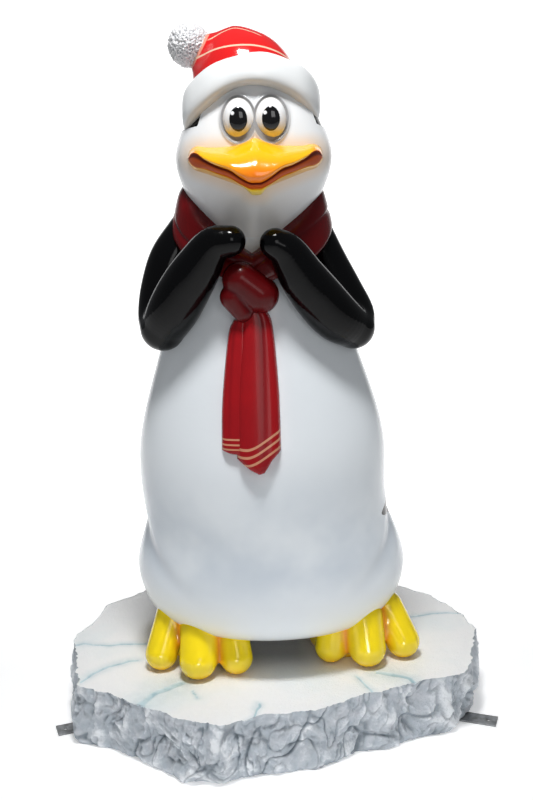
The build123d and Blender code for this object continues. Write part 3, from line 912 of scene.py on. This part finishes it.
def make_feet():
    deck = cad_box("ice_plinth_shell")[1][2]
    for side, sign, toes in (("right", -1, RIGHT_TOES), ("left", 1, LEFT_TOES)):
        instep = (sign * INSTEP[0], INSTEP[1], deck + INSTEP[2])
        toes = np.array(toes) * MM

        def toe(p, x, y, root_x, root_y, r, sunk=0.0):
            return limb(p, (root_x, root_y, deck + TOE_ROOT_UP), (x, y, deck + r - sunk), r, r)

        def field(p, toes=toes, instep=instep, toe=toe):
            d = ball(p, instep, INSTEP_HALF)
            for sizes in toes:
                d = blend_min(d, toe(p, *sizes, 0.004), 0.024)
            return -blend_min(-d, p[..., 2] - deck, 0.004)

        xs = [instep[0] - 0.075, instep[0] + 0.075, *toes[:, 0]]
        low = (min(xs) - 0.055, -0.265, deck - 0.002)
        high = (max(xs) + 0.055, 0.135, deck + 0.185)
        points, faces = solid(field, low, high, 0.0045)
        nearest = np.sort([toe(points, *sizes) for sizes in toes], 0)
        groove = bell(nearest[1] - nearest[0], 0, 0.016) * ease(deck, deck + 0.03, points[:, 2])
        sole = bell(points[:, 2] - deck, 0, 0.018)
        foot = add_mesh(f"foot_{side}_toes", points, faces, {"groove": groove, "sole": sole}, sharp=60)
        paint = gloss_paint(f"foot_{side}_lacquer", 0.15)
        # Painted shade: orange in the grooves between the toes and low down where they meet the deck.
        shade = paint.most(paint.times(paint.attribute("groove"), 0.85),
                           paint.times(paint.attribute("sole"), 0.45))
        paint.colour(paint.mix(shade, TOE_YELLOW, TOE_SHADE_ORANGE))
        finish_piece(foot, [f"foot_{side}"], paint)


# ---- hat
HAT_TILT = math.radians(21)
HAT_AXIS = np.array([0, math.sin(HAT_TILT), math.cos(HAT_TILT)])
HAT_FORWARD = np.array([0, -math.cos(HAT_TILT), math.sin(HAT_TILT)])
BRIM_RADIUS, BRIM_HALF, BRIM_POWER = 0.148, 0.023, 2.7
CROWN_RADIUS = 0.129


def make_brim():
    angle = np.linspace(0, 2 * np.pi, 220, endpoint=False)
    turn = np.linspace(0, 2 * np.pi, 56, endpoint=False)
    out = np.cos(angle)[:, None] * HAT_FORWARD + np.sin(angle)[:, None] * (1, 0, 0)
    wobble = 0.0015 * np.sin(5 * angle + 1) + 0.001 * np.sin(9 * angle)
    droop = -0.016 - 0.036 * np.sin(angle) ** 2 + 0.012 * np.sin(angle)
    height = 0.037 + 0.013 * np.sin(angle) ** 2 + 0.0012 * np.sin(7 * angle)
    path = cad_middle("hat_brim") + out * (BRIM_RADIUS + wobble)[:, None] + HAT_AXIS * droop[:, None]
    a, b = (np.sign(v) * np.abs(v) ** (2 / BRIM_POWER) for v in (np.cos(turn), np.sin(turn)))
    ring = path[:, None] + out[:, None] * (BRIM_HALF * a)[:, None]
    ring = ring + HAT_AXIS * (height[:, None] * b)[..., None]
    under = ease(-0.72, -0.9, np.sin(turn)) * np.ones((len(angle), 1))
    brim = ring_mesh("hat_brim_roll", ring, {"under": under})
    paint = Paint("brim_lacquer", Roughness=0.28, Coat_Weight=0.25)
    tone = paint.mix(paint.noise(7, 3), (0.76, 0.79, 0.80), (0.82, 0.83, 0.83))
    # Painted shade: the brim's underside is painted a darker taupe.
    paint.colour(paint.mix(paint.attribute("under"), tone, (0.55, 0.52, 0.47)))
    paint.bump(paint.noise(40, 3), 0.10, 0.004)
    finish_piece(brim, ["hat_brim"], paint)


def make_crown_and_bobble():
    centre = cad_middle("hat_brim")
    low, high = cad_box("hat_pompom")
    pom_r = (high[2] - low[2]) / 2
    pom = np.array([low[0] + pom_r + 0.006, (low[1] + high[1]) / 2, (low[2] + high[2]) / 2 - 0.004])
    foot = centre + (-0.009, 0.002, 0.002)
    top = pom + (0.104, 0.002, -0.019)
    lean = pom + (0.056, 0, -0.070)
    droop = pom + (0.036, 0, -0.016)
    reach = np.linalg.norm(top - foot)
    axis = (top - foot) / reach
    reach += 0.050

    def field(p):
        q = p - foot
        along = q @ axis
        away = np.linalg.norm(q - along[..., None] * axis, axis=-1)
        dome = ball(np.stack([away, along], -1), (0, 0), (CROWN_RADIUS, reach))
        d = blend_min(dome, limb(p, top, droop, 0.058, 0.031), 0.03)
        d = blend_min(d, limb(p, lean, droop, 0.040, 0.034), 0.03)
        cut = 0.012 + 0.034 * (q[..., 0] / 0.15) ** 2
        return -blend_min(-d, (p - centre) @ HAT_AXIS + cut, 0.004)

    low, high = cad_box("hat_crown")
    points, faces = solid(field, low - 0.06, high + 0.02, 0.005)
    lift = (points - centre) @ HAT_AXIS
    crown = add_mesh("hat_crown_dome", points, faces, {
        "lift": lift + 0.012 * ease(0.0, 0.16, points[:, 0] - centre[0]),
        "tip": np.linalg.norm(points - pom, axis=-1),
        "ridge": points[:, 1] - centre[1] + 0.3 * np.maximum(points[:, 0] - centre[0] + 0.03, 0),
    }, sharp=60)
    paint = gloss_paint("crown_lacquer", 0.12)
    lift_of, tip_of = paint.attribute("lift"), paint.attribute("tip")
    lower = paint.stripe(lift_of, 0.0555, 0.0615, 0.001)
    upper = paint.stripe(paint.attribute("ridge"), -0.034, -0.029, 0.001)
    upper = paint.times(upper, paint.span(lift_of, 0.095, 0.10))
    cuff = paint.times(paint.span(tip_of, 0.0605, 0.0595), 0.5)
    pale = paint.most(paint.most(lower, upper), cuff)
    red = paint.mix(paint.noise(9, 3), (0.55, 0.008, 0.010), (0.64, 0.014, 0.014))
    paint.colour(paint.mix(pale, red, PALE_LINE))
    finish_piece(crown, ["hat_crown"], paint)

    grid = round_grid((0, 0, 0), (1, 1, 1), 120, 200)
    curls = 0.6 * scoops(grid * 8, 21) + 0.4 * scoops(grid * 15, 22)
    lumps = Noise(8).layers(grid * 9, 3)
    radius = pom_r * (0.955 + 0.17 * curls + 0.02 * lumps)
    bobble = closed_mesh("hat_bobble", pom + grid * radius[..., None], {"curl": curls})
    paint = Paint("bobble_lacquer", Roughness=0.3, Coat_Weight=0.5)
    # Painted shade: dark grey in the hollows between the curls, pale grey on the raised curls.
    raised = paint.span(paint.attribute("curl"), 0.02, 0.28)
    paint.colour(paint.mix(raised, (0.20, 0.21, 0.24), (0.66, 0.66, 0.67)))
    paint.bump(paint.noise(150, 4), 0.5, 0.003)
    finish_piece(bobble, ["hat_pompom"], paint)


# ---- scarf
def scarf_paint(name, share, stripes=()):
    """Deep red lacquer with painted shade in the folds; share scales the red, and below 1 darkens it as
    painted shade. stripes are the ends of pale bands in the band attribute.
    """
    paint = gloss_paint(name, 0.26, 0.12, 0.18)
    # Painted shade: share below 1 gives a darker copy of the same red.
    dark, light = ((share * r, share * 0.008, share * 0.012) for r in (0.25, 0.42))
    red = paint.mix(paint.noise(8, 3), dark, light)
    # Painted shade: the fold mark darkens the red in the folds.
    red = paint.mix(paint.attribute("fold"), red, SCARF_FOLD_SHADE)
    pale = 0.0
    for start, end in stripes:
        pale = paint.most(pale, paint.stripe(paint.attribute("band"), start, end, 0.0006))
    paint.colour(paint.mix(pale, red, SCARF_STRIPE))
    return paint


def make_collar():
    low, high = cad_box("scarf_collar")
    angle = np.linspace(0, 2 * np.pi, 260, endpoint=False)
    turn = np.abs(np.mod(angle + np.pi, 2 * np.pi) - np.pi)
    level = through([(0, 1215), (45, 1285), (90, 1358), (135, 1388), (180, 1400)], 60)
    z = np.interp(np.degrees(turn), level[:, 0], level[:, 1]) * MM
    out = np.stack([np.sin(angle), -np.cos(angle), 0 * angle], -1)
    path = out * ((high[0] - low[0]) / 2 - 0.027, 0.152, 0)
    path += ((low[0] + high[0]) / 2, -0.006, 0)
    path[:, 2] = z
    v = np.linspace(-1, 1, 26)
    half = 0.060 - 0.017 * bell(turn, 0, 0.7)
    bulge = (1 - np.abs(v) ** 6) ** 0.5
    fold = bell(v - 0.35 * np.sin(angle * 2 + 0.6)[:, None], 0.1, 0.10)
    thick = 0.034 * bulge - 0.004 * fold
    lean = -0.016 * v - 0.006
    outer = path[:, None] + out[:, None] * (thick + lean)[..., None]
    inner = path[:, None] + out[:, None] * (lean - 0.012)[..., None]
    for skin in (outer, inner):
        skin[..., 2] += half[:, None] * v
    grid = np.concatenate([outer, inner[:, ::-1]], 1)
    # The fold mark carries painted shade in the collar's folds.
    marks = np.concatenate([0.45 * fold, 0 * fold], 1)
    collar = ring_mesh("scarf_collar_wrap", grid, {"fold": marks})
    # The collar's red is darkened by share as painted shade.
    finish_piece(collar, ["scarf_collar"], scarf_paint("collar_lacquer", 0.32))


def make_knot():
    low, high = cad_box("scarf_knot")
    middle = (low + high) / 2
    lobes = [(middle + (-0.025, -0.002, 0.030), middle + (0.022, 0, -0.008), 0.044, 0.046),
             (middle + (-0.044, -0.006, -0.012), middle + (-0.020, -0.006, -0.048), 0.032, 0.026)]

    def field(p):
        return blend_min(*(limb(p, *lobe) for lobe in lobes), 0.006)

    points, faces = solid(field, low - 0.03, high + 0.03, 0.004)
    main, lobe = (limb(points, *lobe) for lobe in lobes)
    # The fold mark carries painted shade in the crease between the knot's lobes.
    knot = add_mesh("scarf_knot_folds", points, faces, {"fold": bell(main - lobe, 0, 0.005)})
    # The knot's red is darkened by share as painted shade.
    finish_piece(knot, ["scarf_knot"], scarf_paint("knot_lacquer", 0.30))


def hanging_end(side, left, right, foot, thickness, gap, folds, stripes, rise=0.0):
    """A scarf end lying on the belly: a padded sheet between two edges, down to a shaped foot.

    rise lifts its stripes towards the right edge.
    """
    rows, columns = 150, 46
    s = np.linspace(0, 1, columns)
    t = np.linspace(0, 1, rows)[:, None]
    foot_line = np.interp(s, *np.array(foot, float).T) * MM
    left, right = through(left, 40) * MM, through(right, 40) * MM
    z = left[0, 1] + (foot_line - left[0, 1]) * t
    x0 = np.interp(-z, -left[:, 1], left[:, 0])
    x1 = np.interp(-z, -right[:, 1], right[:, 0])
    x = x0 + (x1 - x0) * s
    edge = (1 - np.abs(2 * s - 1) ** 5) ** 0.5 * (1 - t**60) ** 0.5
    fold = sum(bell(s, place, width) * depth for place, width, depth in folds) * (0.4 + 0.6 * (1 - t))
    front = front_y(x, z) - gap - thickness * edge * (1 - fold)
    back = front_y(x, z) - gap + 0.004 * edge
    grid = np.concatenate([np.stack([x, front, z], -1), np.stack([x, back, z], -1)[:, ::-1]], 1)
    lift = rise * ease(0.2, 1.15, np.append(s, s[::-1])) / ease(0.2, 1.15, 1.0)
    marks = {
        # The fold mark carries painted shade in the end's fold valleys.
        "fold": np.concatenate([np.clip(fold * 12.0, 0, 0.85), 0 * fold], 1),
        "band": grid[..., 2] - cad_box(f"scarf_{side}_end")[0][2] - lift,
    }
    end = closed_mesh(f"scarf_end_{side}", grid, marks, sharp=70)
    paint = scarf_paint(f"{side}_end_lacquer", 1.0, stripes)
    finish_piece(end, [f"scarf_{side}_end"], paint)


def make_scarf_ends():
    hanging_end(
        "front", [(-61, 1125), (-70, 1040), (-81, 930), (-84, 779)],
        [(-8, 1125), (9, 1084), (21, 939), (23, 780)],
        [(0, 777), (0.3, 752), (0.5, 741), (0.62, 745), (0.8, 775), (1, 795)], 0.030, 0.002,
        [(0.62, 0.13, 0.06)], [(0.0224, 0.029), (0.0414, 0.048), (0.0594, 0.066)], 0.041)
    hanging_end(
        "back", [(-86, 1100), (-101, 1060), (-118, 908), (-121, 790)],
        [(-55, 1100), (-55, 1000), (-55, 900), (-55, 780)],
        [(0, 796), (0.3, 789), (0.7, 786), (1, 778)], 0.022, 0.001,
        [(0.3, 0.08, 0.03)], [(0.0154, 0.020), (0.0264, 0.031), (0.0384, 0.043)])


def make_tail():
    low, high = cad_box("tail_stub")
    middle = (low[0] + high[0]) / 2
    root = (middle, high[1] - 0.108, high[2] - 0.062)
    tip = (middle, high[1] - 0.026, low[2] + 0.026)

    def field(p):
        return limb(p, root, tip, 0.062, 0.026)

    points, faces = solid(field, low - 0.03, high + 0.02, 0.005)
    tail = add_mesh("tail_stub_point", points, faces)
    finish_piece(tail, ["tail_stub"], black_paint("tail_lacquer", 0.13))


# ---- steel and board kept from the CAD
# Fresh colour, worn colour, metallic, roughness, and the CAD nodes with that finish.
STEELS = {
    "galvanised_bar": ((0.30, 0.31, 0.32), (0.16, 0.165, 0.17), 0.75, 0.48,
                       ["fixing_tab_right", "fixing_tab_left"]),
    "frame_primer": ((0.11, 0.115, 0.12), (0.06, 0.06, 0.062), 0.3, 0.6,
                     ["frame_rails", "frame_cross_tubes", "frame_uprights"]),
    "armature_primer": ((0.12, 0.05, 0.035), (0.07, 0.035, 0.03), 0.2, 0.65,
                        ["leg_post_right", "leg_post_left", "hip_bar", "spine_tube", "shoulder_bar"]),
    "zinc_plate": ((0.50, 0.51, 0.52), (0.36, 0.37, 0.38), 0.9, 0.35,
                   ["plate_bolts", "plate_nuts", "plate_washers"]),
}


def coat_cad(paint, nodes):
    for node in nodes:
        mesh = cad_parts[node].data
        mesh.materials.clear()
        mesh.materials.append(paint.material)


def finish_cad():
    for name, (fresh, worn, metallic, roughness, nodes) in STEELS.items():
        paint = Paint(name, Metallic=metallic, Roughness=roughness)
        paint.colour(paint.mix(paint.span(paint.noise(45, 6), 0.35, 0.65), fresh, worn))
        paint.bump(paint.noise(220, 5), 0.2, 0.001)
        coat_cad(paint, nodes)
    board = Paint("plywood_board", Roughness=0.7)
    grain = board.noise(14, 5, (1, 14, 14))
    board.colour(board.mix(board.span(grain, 0.35, 0.65), (0.42, 0.28, 0.15), (0.29, 0.18, 0.09)))
    board.bump(grain, 0.2, 0.001)
    coat_cad(board, ["deck_board"])


make_floe()
make_body()
make_face()
make_bill()
make_eyes()
make_wings()
make_feet()
make_brim()
make_crown_and_bobble()
make_collar()
make_knot()
make_scarf_ends()
make_tail()
finish_cad()


# ---- stage, light and camera
def make_stage():
    """A pale floor that sweeps up into a far backdrop. The paper glows softly behind the object."""
    half_width, flat, bend, rise = 7.0, 8.0, 1.4, 6.0
    turn = np.linspace(0, np.pi / 2, 16)
    y = np.concatenate([[-half_width], flat + bend * np.sin(turn), [flat + bend]])
    z = np.concatenate([[0.0], bend - bend * np.cos(turn), [rise]])
    grid = np.stack([np.stack([np.full(len(y), x), y, z], -1) for x in (-half_width, half_width)])
    stage = add_mesh("studio_floor", grid.reshape(-1, 3), grid_faces(2, len(y), False))
    paint = Paint("studio_paper", Roughness=0.9, Emission_Color=(1.0, 1.0, 1.0, 1.0))
    paint.colour((0.93, 0.93, 0.93))
    behind = paint.axis("Y")
    aside = paint.math("SUBTRACT", paint.math("ABSOLUTE", paint.axis("X")), paint.times(behind, 0.33))
    glow = paint.times(paint.span(behind, 0.0, 1.8), paint.span(aside, 3.4, 0.7))
    glow = paint.math("ADD", paint.times(glow, 0.7), 0.3)
    paint.put(glow, paint.shader.inputs["Emission Strength"])
    stage.data.materials.append(paint.material)


def add_lamp(name, place, aim, size, power, spread=180):
    data = bpy.data.lights.new(name, "AREA")
    data.shape = "RECTANGLE"
    data.size, data.size_y = size
    data.energy = power
    data.spread = math.radians(spread)
    lamp = bpy.data.objects.new(name, data)
    bpy.context.scene.collection.objects.link(lamp)
    lamp.location = place
    lamp.visible_camera = False
    lamp.rotation_euler = (Vector(aim) - Vector(place)).to_track_quat("-Z", "Y").to_euler()


CAMERA_PLACE = (-0.010, -2.7, 1.5)
CAMERA_DOWN, CAMERA_TURN = math.radians(13.4), math.radians(-1.2)


def make_camera():
    """Seen from eye height, with the slight turn of a hand-held shot."""
    data = bpy.data.cameras.new("camera")
    data.lens = 47.07
    data.dof.use_dof = False
    camera = bpy.data.objects.new("camera", data)
    bpy.context.scene.collection.objects.link(camera)
    bpy.context.scene.camera = camera
    camera.location = CAMERA_PLACE
    down = Euler((math.pi / 2 - CAMERA_DOWN, 0, 0)).to_matrix()
    turn = Euler((0, 0, CAMERA_TURN)).to_matrix()
    camera.rotation_euler = (down @ turn).to_euler()


def make_light():
    world = bpy.data.worlds.new("studio")
    bpy.context.scene.world = world
    world.use_nodes = True
    background = world.node_tree.nodes["Background"]
    background.inputs[0].default_value = (0.93, 0.96, 1.0, 1)
    background.inputs[1].default_value = 0.14
    add_lamp("overhead", (-0.1, -0.95, 3.7), (0, -0.1, 0.8), (0.7, 0.5), 83)
    add_lamp("front", (0.9, -4.2, 2.6), (0, 0, 0.9), (1.4, 1.4), 15)
    add_lamp("low_fill", (0.2, -3.5, 0.5), (0, -0.2, 0.10), (1.0, 0.4), 0.55, 24)
    bpy.context.scene.view_settings.view_transform = "Standard"


make_stage()
make_light()
make_camera()

bpy.context.view_layer.update()
